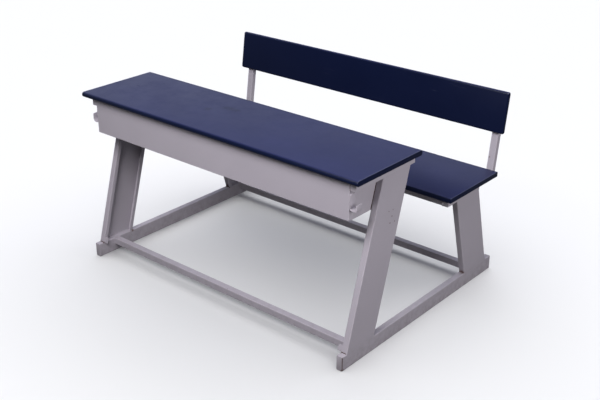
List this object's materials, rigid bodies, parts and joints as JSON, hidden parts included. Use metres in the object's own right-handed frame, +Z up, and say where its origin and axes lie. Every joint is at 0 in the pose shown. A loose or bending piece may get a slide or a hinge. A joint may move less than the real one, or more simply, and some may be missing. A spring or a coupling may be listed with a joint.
{
  "type": "school desk with attached bench",
  "caption": "Long school desk with a book box and bag hooks, joined by a welded steel frame to a bench seat with a backrest.",
  "frame": {"origin": "on the floor, under the middle of the whole unit", "axes": "+X along the boards, +Y from the front panel of the desk to the backrest, +Z up"},
  "size_m": [1.2, 0.8742, 0.6685],
  "materials": {
    "navy_board": "gloss lacquered board",
    "grey_paint": "satin enamel on welded steel",
    "zinc_steel": "zinc plated"
  },
  "bodies": {
    "root": {"backrest_board": "navy_board", "backrest_screws": "zinc_steel", "book_shelf": "grey_paint", "box_front_panel": "grey_paint", "desk_rear_rail": "grey_paint", "desk_top_board": "navy_board", "desk_top_screws": "zinc_steel", "front_foot_bar": "grey_paint", "left_backrest_upright": "grey_paint", "left_bag_hook": "grey_paint", "left_base_front_cap": "grey_paint", "left_base_rail": "grey_paint", "left_base_rear_cap": "grey_paint", "left_box_end_plate": "grey_paint", "left_desk_leg": "grey_paint", "left_desk_rail_front_cap": "grey_paint", "left_desk_rail_rear_cap": "grey_paint", "left_desk_side_rail": "grey_paint", "left_leg_lug": "grey_paint", "left_seat_arm": "grey_paint", "left_seat_arm_cap": "grey_paint", "left_seat_leg": "grey_paint", "left_seat_rail_cap": "grey_paint", "left_seat_side_rail": "grey_paint", "left_upright_cap": "grey_paint", "rear_foot_bar": "grey_paint", "right_backrest_upright": "grey_paint", "right_bag_hook": "grey_paint", "right_base_front_cap": "grey_paint", "right_base_rail": "grey_paint", "right_base_rear_cap": "grey_paint", "right_box_end_plate": "grey_paint", "right_desk_leg": "grey_paint", "right_desk_rail_front_cap": "grey_paint", "right_desk_rail_rear_cap": "grey_paint", "right_desk_side_rail": "grey_paint", "right_leg_lug": "grey_paint", "right_seat_arm": "grey_paint", "right_seat_arm_cap": "grey_paint", "right_seat_leg": "grey_paint", "right_seat_rail_cap": "grey_paint", "right_seat_side_rail": "grey_paint", "right_upright_cap": "grey_paint", "seat_board": "navy_board", "seat_front_rail": "grey_paint", "seat_rear_rail": "grey_paint", "seat_screws": "zinc_steel"}
  },
  "joints": []
}
